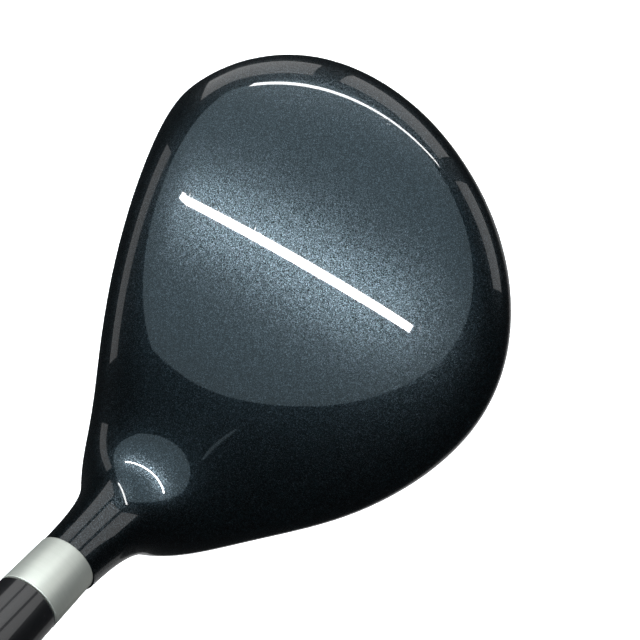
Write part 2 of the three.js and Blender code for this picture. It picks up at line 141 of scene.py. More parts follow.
def crown_field(p):
    dx = (p[:, 0] - CROWN["x"]) / CROWN["radius_x"]
    dy = (p[:, 1] - CROWN["y"]) / CROWN["radius_y"]
    ahead = np.maximum(FRONT_ROLL["start"] - p[:, 1], 0) / FRONT_ROLL["radius"]
    drop = (CROWN["radius_x"] * dx ** 2 + CROWN["radius_y"] * dy ** 2
            + FRONT_ROLL["radius"] * ahead ** 2) / 2
    return (p[:, 2] - CROWN["height"] + drop) / np.sqrt(1 + dx ** 2 + (dy - ahead) ** 2)


def sole_field(p):
    dx = p[:, 0] / SOLE["radius_x"]
    dy = p[:, 1] / SOLE["radius_y"]
    bottom = (SOLE["radius_x"] * dx ** 2 + SOLE["radius_y"] * dy ** 2) / 2 - SOLE["sink"]
    return (bottom - p[:, 2]) / np.sqrt(1 + dx ** 2 + dy ** 2)


def face_field(p):
    up = p[:, 2] - FACE["height"]
    curve = p[:, 0] ** 2 / (2 * FACE["bulge"]) + up ** 2 / (2 * FACE["roll"])
    return (FACE["y"] + math.tan(LOFT) * up + curve - p[:, 1]) * math.cos(LOFT)


def body_field(p):
    lid = soft_max(crown_field(p), skirt_field(p), CROWN_BLEND)
    closed = soft_max(lid, sole_field(p), CROWN_BLEND)
    return soft_max(closed, face_field(p), FACE_BLEND)


def hosel_field(p):
    from_foot = p - FOOT
    along = from_foot @ AXIS
    away = np.sqrt(np.maximum((from_foot ** 2).sum(1) - along ** 2, 0))
    return soft_max(away - HOSEL["radius"], HOSEL["neck_foot"] - along, HOSEL["foot_blend"])


def neck_blend(p):
    """Softness of the fillet: next to nothing at the sole, least on the toe side above it."""
    from_foot = p - FOOT
    along = from_foot @ AXIS
    away = from_foot - np.outer(along, AXIS)
    distance = np.maximum(np.linalg.norm(away, axis=1), 1e-9)  # never zero on the axis
    toeward = (1 + away @ TOE_SIDE / distance) / 2
    fade_length = NECK_FILLET["full"] - NECK_FILLET["from"]
    share = np.clip((along - NECK_FILLET["from"]) / fade_length, 0, 1)
    grown = share ** 2 * (3 - 2 * share)
    softness = NECK_FILLET["blend"] * grown * (1 - NECK_FILLET["toe_side_cut"] * toeward ** 2)
    return NECK_FILLET["least"] + softness


def head_field(p):
    return soft_min(body_field(p), hosel_field(p), neck_blend(p))


def head_slope(p):
    step = 0.02
    columns = []
    for direction in np.eye(3) * step:
        columns.append((head_field(p + direction) - head_field(p - direction)) / (2 * step))
    return np.stack(columns, 1)


def settled(p):
    """The points, moved onto the head's surface."""
    rounds = 5
    for _ in range(rounds):
        slope = head_slope(p)
        p = p - slope * (head_field(p) / (slope ** 2).sum(1))[:, None]
    return p


# ---- mesh helpers ----

def new_object(name, mesh):
    piece = bpy.data.objects.new(name, mesh)
    bpy.context.scene.collection.objects.link(piece)
    return piece


def mesh_from(name, points_mm, faces):
    mesh = bpy.data.meshes.new(name)
    mesh.from_pydata((np.asarray(points_mm) * MM).tolist(), [], faces)
    mesh.update()
    return mesh


def points_of(mesh):
    flat = np.empty(len(mesh.vertices) * 3, np.float64)
    mesh.vertices.foreach_get("co", flat)
    return flat.reshape(-1, 3) / MM


def set_points(mesh, points_mm):
    mesh.vertices.foreach_set("co", (points_mm * MM).ravel())
    mesh.update()


def bake_modifiers(piece):
    """Replaces the piece's mesh with its modified one."""
    graph = bpy.context.evaluated_depsgraph_get()
    baked = bpy.data.meshes.new_from_object(piece.evaluated_get(graph))
    piece.modifiers.clear()
    old = piece.data
    piece.data = baked
    bpy.data.meshes.remove(old)


def ringed(around, rings, closed_ends=True):
    """Faces over stacked rings of points, with a first and a last point if the ends close."""
    shift = 1 if closed_ends else 0

    def at(ring, column):
        return shift + ring * around + column % around

    faces = []
    for column in range(around):
        for ring in range(rings - 1):
            faces.append((at(ring, column), at(ring, column + 1),
                          at(ring + 1, column + 1), at(ring + 1, column)))
        if closed_ends:
            top = 1 + rings * around
            faces.append((0, at(0, column + 1), at(0, column)))
            faces.append((at(rings - 1, column), at(rings - 1, column + 1), top))
    return faces


def looped(around, rings):
    """Faces over stacked rings of points, the last of which joins the first."""
    faces = ringed(around, rings, closed_ends=False)
    last = (rings - 1) * around
    for column in range(around):
        after = (column + 1) % around
        faces.append((last + column, last + after, after, column))
    return faces


def smooth(mesh, angle):
    """Smooth shading, but for edges that turn by more than this many degrees."""
    mesh.polygons.foreach_set("use_smooth", [True] * len(mesh.polygons))
    mesh.set_sharp_from_angle(angle=math.radians(angle))


def first_reach(field, starts, directions, level, farthest):
    """Distance along each direction to the first place where the field has this level."""
    stride = 1.5
    halvings = 18
    distance = np.zeros(len(directions))
    going = np.ones(len(directions), bool)
    for _ in range(int(farthest / stride)):
        ahead = starts + directions * (distance + stride)[:, None]
        going &= field(ahead) < level
        distance = np.where(going, distance + stride, distance)
    near = distance
    far = distance + stride
    for _ in range(halvings):
        middle = (near + far) / 2
        inside = field(starts + directions * middle[:, None]) < level
        near = np.where(inside, middle, near)
        far = np.where(inside, far, middle)
    return np.minimum(near, farthest)


def blob(name, level, density):
    """Closed surface around the head's heart, where the body's field has this level."""
    around, rows = density
    tilts = -np.pi / 2 + np.pi * np.arange(1, rows) / rows
    tilt, turn = np.meshgrid(tilts, turns_of(around), indexing="ij")
    rays = np.stack([np.cos(tilt) * np.cos(turn), np.cos(tilt) * np.sin(turn), np.sin(tilt)], -1)
    rays = np.concatenate([[[0, 0, -1]], rays.reshape(-1, 3), [[0, 0, 1]]])
    starts = np.broadcast_to(HEART, rays.shape)
    reach = first_reach(body_field, starts, rays, level, farthest=90)
    points = starts + rays * reach[:, None]
    return new_object(name, mesh_from(name, points, ringed(around, rows - 1)))


def boolean(piece, cutter, operation):
    modifier = piece.modifiers.new("cut", "BOOLEAN")
    modifier.object = cutter
    modifier.operation = operation
    modifier.solver = "MANIFOLD"
    bake_modifiers(piece)


def drop(*pieces):
    for piece in pieces:
        bpy.data.objects.remove(piece)


def copy_of(piece, name):
    return new_object(name, piece.data.copy())


# ---- solids that cut the head into its pieces ----

AXIS_TURN = Vector((0, 0, 1)).rotation_difference(Vector(AXIS)).to_matrix()


def on_axis(points):
    """Turns points given about +Z, with z as the station, onto the shaft's axis."""
    return np.asarray(points) @ np.array(AXIS_TURN).T + FOOT


def lathe(name, profile, sides=96, closed=True):
    """Solid of revolution about the shaft's axis from (radius, station) points.
    A closed profile returns to its start; an open one starts and ends on the axis."""
    profile = [(float(radius), float(station)) for radius, station in profile]
    rings = profile if closed else profile[1:-1]
    points = [] if closed else [(0, 0, profile[0][1])]
    for radius, station in rings:
        points += [(radius * math.cos(turn), radius * math.sin(turn), station)
                   for turn in turns_of(sides)]
    if closed:
        faces = looped(sides, len(rings))
    else:
        points.append((0, 0, profile[-1][1]))
        faces = ringed(sides, len(rings))
    mesh = mesh_from(name, on_axis(points), faces)
    lay_uv(mesh)
    return new_object(name, mesh)


def lay_uv(mesh):
    """UV map of a turned piece: turn about the shaft's axis from 0 to 1, and station in mm."""
    local = (points_of(mesh) - FOOT) @ np.array(AXIS_TURN)
    turn = np.arctan2(local[:, 1], local[:, 0]) / (2 * np.pi) % 1
    layer = mesh.uv_layers.new(name="turn_station")
    for face in mesh.polygons:
        turns = [turn[vertex] for vertex in face.vertices]
        over_the_seam = max(turns) - min(turns) > 0.5
        for loop, vertex in zip(face.loop_indices, face.vertices):
            extra = 1 if over_the_seam and turn[vertex] < 0.5 else 0
            layer.data[loop].uv = (turn[vertex] + extra, local[vertex, 2])


def over_ground(u, v, w):
    return (u, v, w)


def over_face(u, v, w):
    return (u, w, v)


def prism(name, outline, low, high, lift=over_ground):
    """Closed prism over an outline. lift(u, v, w) gives the point of outline (u, v) at height w."""
    count = len(outline)
    points = [lift(u, v, low) for u, v in outline] + [lift(u, v, high) for u, v in outline]
    faces = [tuple(range(count))[::-1], tuple(range(count, 2 * count))]
    for corner in range(count):
        after = (corner + 1) % count
        faces.append((corner, after, count + after, count + corner))
    mesh = mesh_from(name, points, faces)
    fix = bmesh.new()
    fix.from_mesh(mesh)
    bmesh.ops.recalc_face_normals(fix, faces=fix.faces)
    fix.to_mesh(mesh)
    fix.free()
    return new_object(name, mesh)


def face_prism(inset):
    turns = turns_of(160)
    power = 2 / FACE_PLATE["squareness"]
    across, up = np.cos(turns), np.sin(turns)
    half_width = FACE_PLATE["half_width"] - inset
    half_height = FACE_PLATE["half_height"] - inset
    x = FACE_PLATE["x"] + half_width * np.sign(across) * np.abs(across) ** power
    z = FACE_PLATE["z"] + half_height * np.sign(up) * np.abs(up) ** power
    outline = list(zip(x, z))
    return prism("face_prism", outline, FACE_PLATE["ahead"], FACE_PLATE["behind"], over_face)


def sole_prism(inset):
    turns = turns_of(200)
    radius = outline_radius(turns)[0] * SOLE_PLATE["share"] - inset
    x = OUTLINE_CENTRE[0] + radius * np.cos(turns)
    y = np.maximum(OUTLINE_CENTRE[1] + radius * np.sin(turns), SOLE_PLATE["front"] + inset)
    return prism("sole_prism", list(zip(x, y)), SOLE_PLATE["below"], SOLE_PLATE["above"])


def badge_prism(inset):
    turns = turns_of(96)
    x = (BADGE["half_length"] - inset) * np.cos(turns)
    y = BADGE["y"] + (BADGE["half_width"] - inset) * np.sin(turns)
    return prism("badge_prism", list(zip(x, y)), BADGE["below"], BADGE["above"])


PORT_TILT = math.atan(PORT["y"] / SOLE["radius_y"])
PORT_MOUTH = PORT["y"] ** 2 / (2 * SOLE["radius_y"]) - SOLE["sink"]


def port_point(u, v, w):
    """Point of the weight port's own frame: w runs into the head, square to the sole."""
    sin, cos = math.sin(PORT_TILT), math.cos(PORT_TILT)
    return (u, PORT["y"] + cos * v - sin * w, PORT_MOUTH + sin * v + cos * w)


def port_disc(radius, low, high, sides=72):
    outline = [(radius * math.cos(turn), radius * math.sin(turn)) for turn in turns_of(sides)]
    return prism("port_disc", outline, low, high, port_point)


def box(name, low, high):
    (x0, y0, z0), (x1, y1, z1) = low, high
    return prism(name, [(x0, y0), (x1, y0), (x1, y1), (x0, y1)], z0, z1)


# ---- the head ----

def rough_neck():
    """Neck up to a little past the hosel's top, to be trimmed."""
    around, stations = 96, 40
    first, last = 26, HOSEL_TOP + 3
    side_a = np.array([0.0, 1.0, 0.0])
    side_b = np.cross(AXIS, side_a)
    turns = turns_of(around)
    outward = np.cos(turns)[:, None] * side_a + np.sin(turns)[:, None] * side_b
    points = [FOOT + AXIS * first]
    for along in np.linspace(first, last, stations):
        centre = np.broadcast_to(FOOT + AXIS * along, outward.shape)
        reach = first_reach(head_field, centre, outward, 0, farthest=20)
        points += list(centre + outward * reach[:, None])
    points.append(FOOT + AXIS * last)
    return new_object("neck", mesh_from("neck", points, ringed(around, stations)))


def full_head():
    """The head's outer form as one fine closed mesh, hosel included."""
    head = blob("head", 0, FINE)
    neck = rough_neck()
    both = bmesh.new()
    both.from_mesh(head.data)
    both.from_mesh(neck.data)
    both.to_mesh(head.data)
    both.free()
    remesh = head.modifiers.new("remesh", "REMESH")
    remesh.mode = "VOXEL"
    remesh.voxel_size = 0.75 * MM
    bake_modifiers(head)
    set_points(head.data, settled(points_of(head.data)))
    wide, tall = 40, 20
    top = box("top_cut", (-wide, -wide, HOSEL_TOP), (wide, wide, HOSEL_TOP + tall))
    set_points(top.data, on_axis(points_of(top.data)))
    boolean(head, top, "DIFFERENCE")
    far, deep = 100, 20
    ground = box("ground", (-far, -far, -deep), (far, far, 0))
    boolean(head, ground, "DIFFERENCE")
    drop(neck, top, ground)
    return head


def analytic_normals(mesh):
    """Gives the smooth outer skin its exact normals and leaves cut walls flat."""
    tolerance = 0.06
    least_agreement = 0.8
    p = points_of(mesh)
    on_skin = np.abs(head_field(p)) < tolerance
    slope = head_slope(p)
    normal = slope / np.linalg.norm(slope, axis=1)[:, None]
    loop_normals = [(0, 0, 0)] * len(mesh.loops)
    is_smooth = [False] * len(mesh.polygons)
    for face in mesh.polygons:
        all_on_skin = all(on_skin[vertex] for vertex in face.vertices)
        agreement = Vector(normal[face.vertices[0]]).dot(face.normal)
        if all_on_skin and agreement > least_agreement:
            is_smooth[face.index] = True
            for loop, vertex in zip(face.loop_indices, face.vertices):
                loop_normals[loop] = tuple(normal[vertex])
    mesh.polygons.foreach_set("use_smooth", is_smooth)
    mesh.normals_split_custom_set(loop_normals)


def make_shell(walls, outer):
    """Crown, skirt and neck with their bored tube, open where face and sole are let in."""
    shell = copy_of(walls, "head_shell_skin")
    foot, top = HOSEL["tube_foot"], HOSEL_TOP - HOSEL["tube_below_top"]
    tube = lathe("tube", [(0, foot), (HOSEL["radius"], foot), (HOSEL["radius"], top), (0, top)],
                 closed=False)
    boolean(tube, outer, "INTERSECT")
    boolean(shell, tube, "UNION")
    floor, mouth = HOSEL["bore_floor"], HOSEL_TOP + 5
    bore = lathe("bore", [(0, floor), (HOSEL["bore"], floor), (HOSEL["bore"], mouth), (0, mouth)],
                 closed=False)
    cut_face, cut_sole = face_prism(0), sole_prism(0)
    for cutter in (cut_face, cut_sole, bore):
        boolean(shell, cutter, "DIFFERENCE")
    drop(tube, bore, cut_face, cut_sole)
    return shell


def make_face_plate(walls):
    plate = copy_of(walls, "face_plate_skin")
    fit = face_prism(SEAM)
    boolean(plate, fit, "INTERSECT")
    below_lines = blob("below_lines", -SCORE_LINES["depth"], FINE)
    half, thin = SCORE_LINES["length"] / 2, SCORE_LINES["width"] / 2
    for index in range(SCORE_LINES["count"]):
        z = SCORE_LINES["lowest"] + SCORE_LINES["pitch"] * index
        for side in (-1, 1):
            middle = FACE_PLATE["x"] + side * (SCORE_LINES["half_gap"] + half)
            line = box("line", (middle - half, SCORE_LINES["ahead"], z - thin),
                       (middle + half, SCORE_LINES["behind"], z + thin))
            boolean(line, below_lines, "DIFFERENCE")
            boolean(plate, line, "DIFFERENCE")
            drop(line)
    drop(fit, below_lines)
    return plate


def make_sole_plate(walls, outer):
    """Sole with the weight's port in its boss and the badge's recess."""
    sole = copy_of(walls, "sole_plate_skin")
    wall = PORT["wall"]
    boss = port_disc(PORT["radius"] + wall, PORT["boss_start"], PORT["depth"] + wall)
    boolean(boss, outer, "INTERSECT")
    boolean(sole, boss, "UNION")
    fit = sole_prism(SEAM)
    boolean(sole, fit, "INTERSECT")
    pocket = port_disc(PORT["radius"], PORT["below"], PORT["depth"])
    boolean(sole, pocket, "DIFFERENCE")
    recess = badge_prism(0)
    floor = blob("badge_floor", -BADGE["thickness"] - GAP, MEDIUM)
    boolean(recess, floor, "DIFFERENCE")
    boolean(sole, recess, "DIFFERENCE")
    drop(boss, fit, pocket, recess, floor)
    return sole


def make_badge(outer):
    badge = copy_of(outer, "sole_badge_skin")
    back = blob("badge_back", -BADGE["thickness"], MEDIUM)
    boolean(badge, back, "DIFFERENCE")
    fit = badge_prism(SEAM)
    boolean(badge, fit, "INTERSECT")
    drop(back, fit)
    return badge


def make_head_pieces():
    outer = full_head()
    inner = blob("inner", -WALL, COARSE)
    walls = copy_of(outer, "walls")
    boolean(walls, inner, "DIFFERENCE")
    pieces = (make_shell(walls, outer), make_face_plate(walls), make_sole_plate(walls, outer),
              make_badge(outer))
    drop(outer, inner, walls)
    for piece in pieces:
        analytic_normals(piece.data)
    return pieces


# ---- pieces turned about the shaft ----

SHAFT_END = CLUB_LENGTH - CAP["thickness"] - GAP
GRIP_MOUTH = CLUB_LENGTH - GRIP["length"]


def shaft_radius(station):
    taper_start = SHAFT["foot"] + SHAFT["parallel"]
    share = max(0, (station - taper_start) / (SHAFT_END - taper_start))
    return SHAFT["tip"] + (SHAFT["butt"] - SHAFT["tip"]) * share


def rounded(corners, radius, steps=4):
    """Profile line with its inner corners rounded to a radius."""
    line = [corners[0]]
    for before, corner, after in zip(corners, corners[1:], corners[2:]):
        corner = Vector(corner)
        back = Vector(before) - corner
        ahead = Vector(after) - corner
        reach = min(radius, back.length / 2, ahead.length / 2)
        start = corner + back.normalized() * reach
        end = corner + ahead.normalized() * reach
        for step in range(steps + 1):
            t = step / steps
            line.append(tuple(start * (1 - t) ** 2 + corner * 2 * t * (1 - t) + end * t ** 2))
    line.append(corners[-1])
    return line


def turned_piece(name, profile, sides=96, closed=True):
    piece = lathe(name, profile, sides, closed)
    smooth(piece.data, 40)
    return piece


def make_ring():
    low = HOSEL_TOP + RING["seam"]
    high = HOSEL_TOP + GAP + RING["length"] + CLOSING
    inner = SHAFT["tip"] + GAP
    outer = RING["radius"]
    before_edge = outer - RING["edge"]
    section = [(inner, low), (before_edge, low), (outer, low), (outer, high), (before_edge, high),
               (inner, high)]
    return turned_piece("ferrule_ring_turned", rounded(section, RING["rounding"]), 160)


def make_sleeve():
    """Straight sleeve, then a taper that steepens towards the shaft."""
    foot = HOSEL_TOP + RING["length"] + 2 * GAP
    low = foot - CLOSING
    shoulder = low + SLEEVE["straight"]
    high = foot + SLEEVE["straight"] + SLEEVE["taper"]
    inner = SHAFT["tip"] + GAP
    line = [(inner, low), (SLEEVE["outer"] - SLEEVE["edge"], low),
            (SLEEVE["outer"], low + SLEEVE["edge"])]
    steps = 14
    for step in range(steps + 1):
        share = step / steps
        ease = share ** 2 * (1.6 - 0.6 * share)
        radius = SLEEVE["outer"] + (SLEEVE["mouth"] - SLEEVE["outer"]) * ease
        line.append((radius, shoulder + (high - shoulder) * share))
    line += [(SLEEVE["mouth"] - SLEEVE["lip"], high), (inner, high)]
    return turned_piece("ferrule_sleeve_turned", line, 128)


def make_shaft():
    taper_start = SHAFT["foot"] + SHAFT["parallel"]
    stations = [SHAFT["foot"], *np.linspace(taper_start, SHAFT_END, 24)]
    outer_line = [(shaft_radius(station), station) for station in stations]
    inner_line = [(radius - SHAFT["wall"], station) for radius, station in outer_line]
    return turned_piece("shaft_tube", outer_line + inner_line[::-1])


def make_weight():
    """Screw-in weight: a bevelled disc with a six-lobed socket."""
    radius = PORT["radius"] - WEIGHT["clearance"]
    weight = port_disc(radius, WEIGHT["sink"], PORT["depth"] - GAP, 120)
    weight.name = "sole_weight_turned"
    bevel = weight.modifiers.new("bevel", "BEVEL")
    bevel.width = WEIGHT["bevel"] * MM
    bevel.segments = 4
    bevel.limit_method = "ANGLE"
    bevel.angle_limit = math.radians(50)
    bake_modifiers(weight)
    turns = turns_of(96)
    radii = WEIGHT["socket"] + WEIGHT["lobe"] * np.cos(WEIGHT["lobes"] * turns)
    outline = list(zip(radii * np.cos(turns), radii * np.sin(turns)))
    socket = prism("socket", outline, WEIGHT["socket_start"], WEIGHT["socket_depth"], port_point)
    boolean(weight, socket, "DIFFERENCE")
    drop(socket)
    smooth(weight.data, 30)
    return weight


def grip_relief(turn, station):
    """Depth in millimetres that the grip's moulded pattern is sunk at a place."""
    along = station - GRIP_MOUTH
    length = SHAFT_END - GRIP_MOUTH
    fade_in = np.clip((along - DIAMONDS["from_mouth"]) / DIAMONDS["fade"], 0, 1)
    fade_out = np.clip((length - DIAMONDS["from_butt"] - along) / DIAMONDS["fade"], 0, 1)
    across = turn * 2 * np.pi * DIAMONDS["around"]
    lengthwise = along * 2 * np.pi / DIAMONDS["pitch"]
    weave = np.cos(across + lengthwise) * np.cos(across - lengthwise)
    groove = np.clip(1 - np.abs(weave) / DIAMONDS["groove"], 0, 1)
    past_plain = np.abs(along - DIAMONDS["middle"]) - DIAMONDS["plain"]
    groove *= fade_in * fade_out * np.clip(past_plain / DIAMONDS["plain_fade"], 0, 1)
    bands = np.zeros_like(along)
    for middle in (*BANDS["from_mouth"], length - BANDS["from_butt"]):
        bands = np.maximum(bands, np.clip(BANDS["half_width"] - np.abs(along - middle), 0, 1))
    return DIAMONDS["depth"] * groove + BANDS["depth"] * bands


def grip_radius(station):
    """The CAD grip's outer line, softened."""
    marks = [GRIP_MOUTH, GRIP_MOUTH + GRIP["lip_length"], SHAFT_END - GRIP["flare_start"],
             SHAFT_END - GRIP["flare_end"], SHAFT_END]
    radii = [GRIP["mouth"] - GRIP["lip"], GRIP["mouth"], GRIP["butt"] - GRIP["flare"],
             GRIP["butt"], GRIP["butt"]]
    spread = (-3, -1.5, 0, 1.5, 3)
    return sum(np.interp(station + offset, marks, radii) for offset in spread) / len(spread)


def make_grip():
    sides, rows = 192, 520
    turns, stations = np.arange(sides) / sides, np.linspace(GRIP_MOUTH, SHAFT_END, rows)
    turn, station = np.meshgrid(turns, stations)
    radius = grip_radius(station) - grip_relief(turn, station)
    angle = turn * 2 * np.pi
    outside = np.stack([radius * np.cos(angle), radius * np.sin(angle), station], -1)
    circles = []
    for end in (SHAFT_END, GRIP_MOUTH):
        inner = shaft_radius(end) + TAPE + 2 * GAP
        circle = angle[0]
        circles.append(np.stack([inner * np.cos(circle), inner * np.sin(circle),
                                 np.full(sides, end)], 1))
    points = np.concatenate([outside.reshape(-1, 3), *circles])
    mesh = mesh_from("grip_moulded", on_axis(points), looped(sides, rows + len(circles)))
    lay_uv(mesh)
    smooth(mesh, 50)
    return new_object("grip_moulded", mesh)


def make_cap():
    """End cap on its spigot, with a shallow ring groove and a blind vent hole."""
    low = CLUB_LENGTH - CAP["thickness"]
    spigot = shaft_radius(SHAFT_END) - SHAFT["wall"] - GAP
    edge = GRIP["butt"]
    rim, down, up, island = (edge - inset for inset in CAP["groove"])
    groove_floor = CLUB_LENGTH - CAP["groove_depth"]
    vent_mouth, vent_end = CAP["vent"]
    vent_floor = CLUB_LENGTH - CAP["vent_depth"]
    line = [(0, low - CAP["spigot"]), (spigot, low - CAP["spigot"]), (spigot, low), (edge, low),
            (edge, CLUB_LENGTH - CAP["edge"]), (edge - CAP["edge"], CLUB_LENGTH),
            (rim, CLUB_LENGTH), (down, groove_floor), (up, groove_floor), (island, CLUB_LENGTH),
            (vent_mouth, CLUB_LENGTH), (vent_end, vent_floor), (0, vent_floor)]
    return turned_piece("grip_cap_moulded", rounded(line, CAP["rounding"]), 128, closed=False)


# ---- materials ----

class Nodes:
    """Short way to write a material's node tree."""

    def __init__(self, name):
        self.material = bpy.data.materials.new(name)
        self.material.use_nodes = True
        self.tree = self.material.node_tree
        self.shader = self.tree.nodes["Principled BSDF"]

    def feed(self, socket, value):
        if isinstance(value, bpy.types.NodeSocket):
            self.tree.links.new(value, socket)
        else:
            socket.default_value = value

    def add(self, kind, settings=None, numbered=None, **named):
        """New node. An input is given by its place, or by its name with _ for each space."""
        node = self.tree.nodes.new("ShaderNode" + kind)
        for key, value in (settings or {}).items():
            setattr(node, key, value)
        for place, value in (numbered or {}).items():
            self.feed(node.inputs[place], value)
        for key, value in named.items():
            self.feed(node.inputs[key.replace("_", " ")], value)
        return node

    def set(self, **named):
        """Inputs of the material's own shader."""
        for key, value in named.items():
            self.feed(self.shader.inputs[key.replace("_", " ")], value)

    def math(self, operation, *values):
        return self.add("Math", {"operation": operation}, dict(enumerate(values))).outputs[0]

    def vector(self, operation, *values):
        return self.add("VectorMath", {"operation": operation}, dict(enumerate(values))).outputs[0]

    def span(self, value, low, high, to_low=0.0, to_high=1.0):
        node = self.add("MapRange", {"clamp": True}, Value=value, From_Min=low, From_Max=high,
                        To_Min=to_low, To_Max=to_high)
        return node.outputs[0]

    def mix(self, share, start, end):
        """Colour between two colours."""
        return self.add("Mix", {"data_type": "RGBA"}, {0: share, 6: start, 7: end}).outputs[2]

    def place(self):
        """Place on the piece, in metres."""
        return self.add("TexCoord").outputs["Object"]

    def turn_station(self):
        return self.add("UVMap", {"uv_map": "turn_station"}).outputs[0]

    def stretched(self, vector, *scale):
        return self.add("Mapping", Vector=vector, Scale=scale).outputs[0]

    def noise(self, vector, scale=1.0, detail=2.0, roughness=0.5):
        node = self.add("TexNoise", Vector=vector, Scale=scale, Detail=detail, Roughness=roughness)
        return node.outputs[0]

    def bump(self, height, strength, depth_mm, normal=None):
        node = self.add("Bump", Height=height, Strength=strength, Distance=depth_mm * MM)
        if normal:
            self.feed(node.inputs["Normal"], normal)
        return node.outputs[0]


def gray(level):
    return (level, level, level, 1)


def head_paint():
    """Black paint with fine silver flake under a thick clear coat, lightly scratched."""
    n = Nodes("flake_paint")
    place = n.place()
    flakes = n.add("TexVoronoi", Vector=place, Scale=8500)
    pick = n.add("SeparateColor", Color=flakes.outputs["Color"]).outputs
    cloud = n.noise(place, 55, 3)
    shown = n.math("ADD", pick[0], n.span(cloud, 0.3, 0.7, -0.04, 0.04))
    flake = n.span(shown, 0.10, 0.20)
    bright = n.math("POWER", pick[1], 4)  # a few flakes outshine the rest
    silver = n.mix(bright, (0.0120, 0.0160, 0.0182, 1), (0.092, 0.118, 0.137, 1))
    ground = n.mix(cloud, (0.0012, 0.0040, 0.0050, 1), (0.0020, 0.0055, 0.0065, 1))
    # Each flake lies at its own small angle to the surface
    lie_of = n.add("TexWhiteNoise", Vector=flakes.outputs["Position"]).outputs["Color"]
    lean = n.vector("SUBTRACT", lie_of, (0.5, 0.5, 0.5))
    lean = n.vector("MULTIPLY", lean, (0.16, 0.16, 0.16))
    normal = n.add("NewGeometry").outputs["Normal"]
    tipped = n.vector("NORMALIZE", n.vector("ADD", normal, lean))
    scratch_a = n.noise(n.stretched(place, 30, 2600, 600), detail=1)
    scratch_b = n.noise(n.stretched(place, 2200, 60, 500), detail=1)
    scratch = n.math("MAXIMUM", n.span(scratch_a, 0.74, 0.80), n.span(scratch_b, 0.76, 0.82))
    n.set(Base_Color=n.mix(flake, ground, silver), Metallic=flake,
          Roughness=n.span(flake, 0, 1, 0.6, 0.29), Normal=tipped, Specular_IOR_Level=0.0,
          Coat_Weight=1.0, Coat_Roughness=0.026, Coat_IOR=1.5,
          Coat_Normal=n.bump(scratch, 0.06, 0.04))
    return n.material


def face_steel():
    """Brushed along the face, finely blasted, worn brighter in places."""
    n = Nodes("face_steel")
    place = n.place()
    brush = n.noise(n.stretched(place, 220, 2600, 4200), detail=3)
    blast = n.noise(place, 5200)
    worn = n.span(n.noise(place, 60, 4), 0.45, 0.75)
    color = n.mix(brush, (0.30, 0.31, 0.32, 1), (0.46, 0.47, 0.48, 1))
    n.set(Base_Color=n.mix(worn, color, (0.52, 0.53, 0.53, 1)), Metallic=1.0,
          Roughness=n.span(n.math("ADD", brush, worn), 0.4, 1.5, 0.42, 0.28),
          Normal=n.bump(blast, 0.25, 0.04, n.bump(brush, 0.25, 0.03)))
    return n.material


def sole_steel():
    """Dark steel, brushed and scuffed from front to rear as it slides over the ground."""
    n = Nodes("sole_steel")
    place = n.place()
    brush = n.noise(n.stretched(place, 3600, 160, 400), detail=4)
    scuff = n.noise(n.stretched(place, 900, 26, 60), detail=4)
    color = n.mix(brush, (0.085, 0.088, 0.092, 1), (0.14, 0.145, 0.15, 1))
    n.set(Base_Color=n.mix(n.span(scuff, 0.60, 0.74), color, gray(0.30)), Metallic=1.0,
          Roughness=n.span(brush, 0.3, 0.7, 0.30, 0.42),
          Normal=n.bump(scuff, 0.15, 0.06, n.bump(brush, 0.3, 0.03)))
    return n.material


def turned_steel():
    n = Nodes("turned_steel")
    lines = n.noise(n.stretched(n.place(), 900, 900, 900), 3, 4)
    color = n.mix(lines, (0.34, 0.34, 0.3332, 1), (0.5, 0.5, 0.49, 1))
    n.set(Base_Color=color, Metallic=1.0, Roughness=n.span(lines, 0.3, 0.7, 0.28, 0.4),
          Normal=n.bump(lines, 0.15, 0.03))
    return n.material


def badge_aluminium():
    n = Nodes("badge_aluminium")
    satin = n.noise(n.stretched(n.place(), 120, 5200, 600), detail=3)
    color = n.mix(satin, (0.60, 0.61, 0.62, 1), (0.74, 0.75, 0.76, 1))
    n.set(Base_Color=color, Metallic=1.0, Roughness=n.span(satin, 0.3, 0.7, 0.24, 0.36),
          Normal=n.bump(satin, 0.2, 0.02))
    return n.material


def ring_metal():
    """Satin silver ring with fine lines around it."""
    n = Nodes("ring_brushed")
    around = n.turn_station()
    lines = n.noise(n.stretched(around, 5, 11, 1), detail=5, roughness=0.7)
    broad = n.noise(n.stretched(around, 3, 1.6, 1))
    color = n.mix(lines, (0.59, 0.61, 0.55, 1), (0.75, 0.77, 0.70, 1))
    color = n.mix(n.span(broad, 0.3, 0.7, 0, 0.25), color, (0.78, 0.79, 0.73, 1))
    n.set(Base_Color=color, Metallic=0.7, Roughness=n.span(lines, 0.3, 0.7, 0.34, 0.5),
          Normal=n.bump(lines, 0.35, 0.03))
    return n.material


def sleeve_gloss():
    """Polished black plastic with faint hairlines and a little dust."""
    n = Nodes("sleeve_gloss")
    lines = n.noise(n.stretched(n.turn_station(), 4, 7, 1), detail=4, roughness=0.7)
    dust = n.span(n.noise(n.place(), 2600), 0.72, 0.80, 0, 0.5)
    color = n.mix(lines, (0.004, 0.004, 0.0046, 1), (0.008, 0.008, 0.0092, 1))
    n.set(Base_Color=n.mix(dust, color, gray(0.10)), Roughness=n.span(lines, 0.3, 0.7, 0.28, 0.4),
          Coat_Weight=1.0, Coat_Roughness=0.03, Normal=n.bump(lines, 0.10, 0.03))
    return n.material


